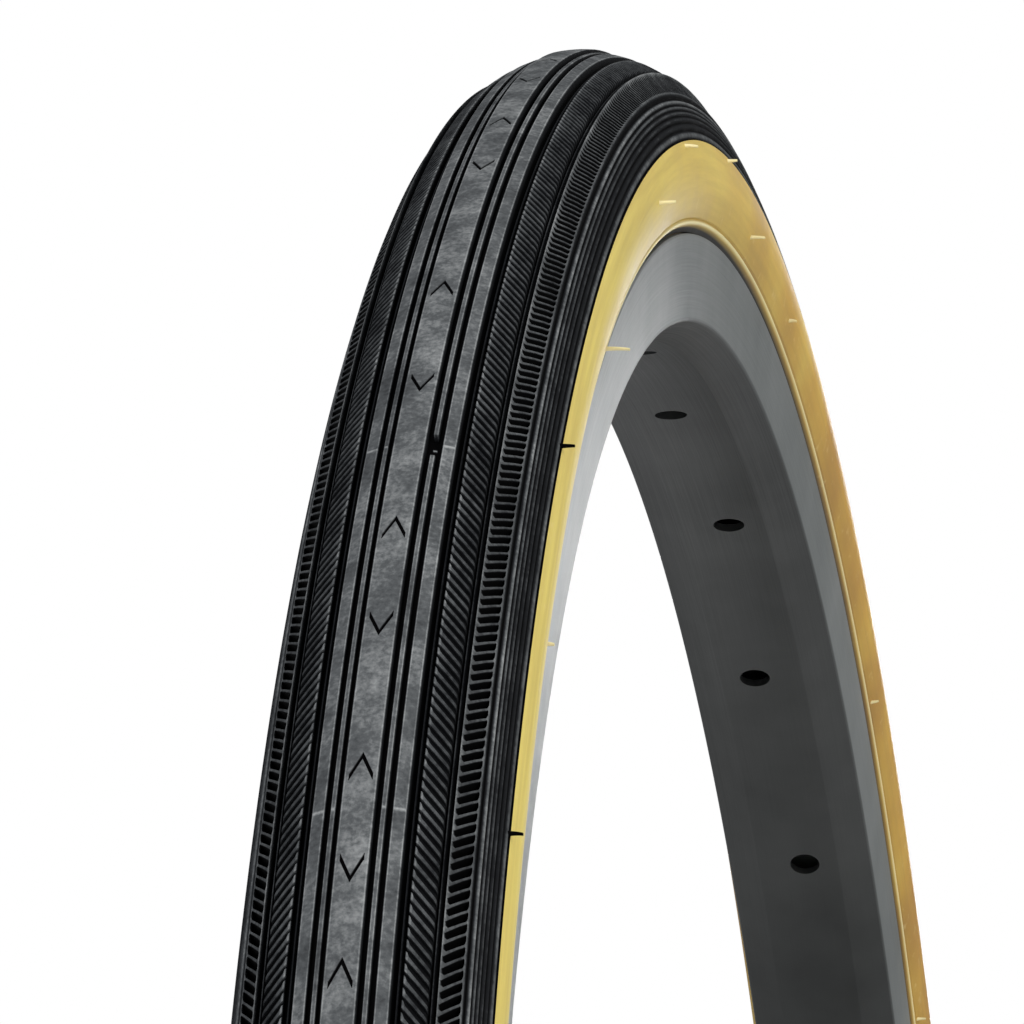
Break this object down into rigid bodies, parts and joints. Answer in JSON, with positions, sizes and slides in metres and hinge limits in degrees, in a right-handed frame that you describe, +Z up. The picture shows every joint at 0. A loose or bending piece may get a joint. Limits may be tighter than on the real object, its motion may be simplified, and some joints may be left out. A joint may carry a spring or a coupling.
{
  "type": "bicycle tyre on rim",
  "caption": "Gum-wall road tyre with a ribbed tread, tube and screw-cap valve, mounted on a drilled aluminium rim ready to be laced to a hub.",
  "frame": {"origin": "the wheel's centre, on the axis and on the mid plane of the tyre", "axes": "the wheel turns about +Y and rolls towards +X with +Z up; +Y is its left side; the valve is at the bottom and its stem points up at the centre"},
  "size_m": [0.6948, 0.0366, 0.6947],
  "materials": {
    "tread_rubber": "matt black tread rubber, greyer on the worn tops of its ribs",
    "gum_rubber": "satin golden-brown gum",
    "casing_cloth": "rubberised bias-cut nylon cloth",
    "chafer_cloth": "rubberised square-woven cloth",
    "bead_steel": "drawn steel wire",
    "black_rubber": "matt black rubber",
    "tube_rubber": "matt black butyl",
    "rim_alloy": "satin anodised grey",
    "tape_cloth": "woven cotton tape",
    "plated_brass": "nickel-plated brass",
    "raw_brass": "turned brass",
    "gasket_plastic": "red PTFE",
    "cap_plastic": "moulded black plastic"
  },
  "bodies": {
    "wheel": {"tread": "tread_rubber", "casing_ply_outer": "casing_cloth", "casing_ply_inner": "casing_cloth", "sidewall_left": "gum_rubber", "sidewall_right": "gum_rubber", "bead_wire_left": "bead_steel", "bead_wire_right": "bead_steel", "bead_filler_left": "black_rubber", "bead_filler_right": "black_rubber", "bead_chafer_left": "chafer_cloth", "bead_chafer_right": "chafer_cloth", "inner_tube": "tube_rubber", "valve_patch": "tube_rubber", "rim": "rim_alloy", "rim_sleeve": "rim_alloy", "rim_tape": "tape_cloth", "valve_stem": "plated_brass"},
    "nut_washer": {"stem_washer": "black_rubber"},
    "lock_nut": {"stem_nut": "plated_brass"},
    "core": {"core_barrel": "raw_brass", "core_gasket": "gasket_plastic", "core_spring": "bead_steel"},
    "core_head": {"core_nut": "raw_brass"},
    "pin": {"core_pin": "raw_brass", "core_seat": "black_rubber"},
    "seal": {"cap_seal": "black_rubber"},
    "cap": {"valve_cap": "cap_plastic"}
  },
  "joints": [
    {"name": "nut_rise", "type": "slide", "parent": "wheel", "child": "nut_washer", "axis": [0, 0, 1], "range_m": [0, 0.00953]},
    {"name": "nut_turn", "type": "hinge", "parent": "nut_washer", "child": "lock_nut", "pos_m": [0, 0, -0.302], "axis": [0, 0, 1], "range_deg": [0, 4320]},
    {"name": "core_rise", "type": "slide", "parent": "wheel", "child": "core", "axis": [0, 0, 1], "range_m": [0, 0.00282]},
    {"name": "core_turn", "type": "hinge", "parent": "core", "child": "core_head", "pos_m": [0, 0, -0.283], "axis": [0, 0, 1], "range_deg": [0, 1440]},
    {"name": "pin_push", "type": "slide", "parent": "core", "child": "pin", "axis": [0, 0, -1], "range_m": [0, 0.0012], "stiffness_N_per_m": 300, "springref_m": -0.0008, "deforming": ["core_spring"]},
    {"name": "cap_rise", "type": "slide", "parent": "wheel", "child": "seal", "axis": [0, 0, 1], "range_m": [0, 0.00635]},
    {"name": "cap_turn", "type": "hinge", "parent": "seal", "child": "cap", "pos_m": [0, 0, -0.283], "axis": [0, 0, 1], "range_deg": [0, 2880]}
  ],
  "couplings": [
    {"joint": "nut_turn", "follows": "nut_rise", "rad_per_m": 7915.8},
    {"joint": "core_turn", "follows": "core_rise", "rad_per_m": 8905.2},
    {"joint": "cap_turn", "follows": "cap_rise", "rad_per_m": 7915.8}
  ]
}
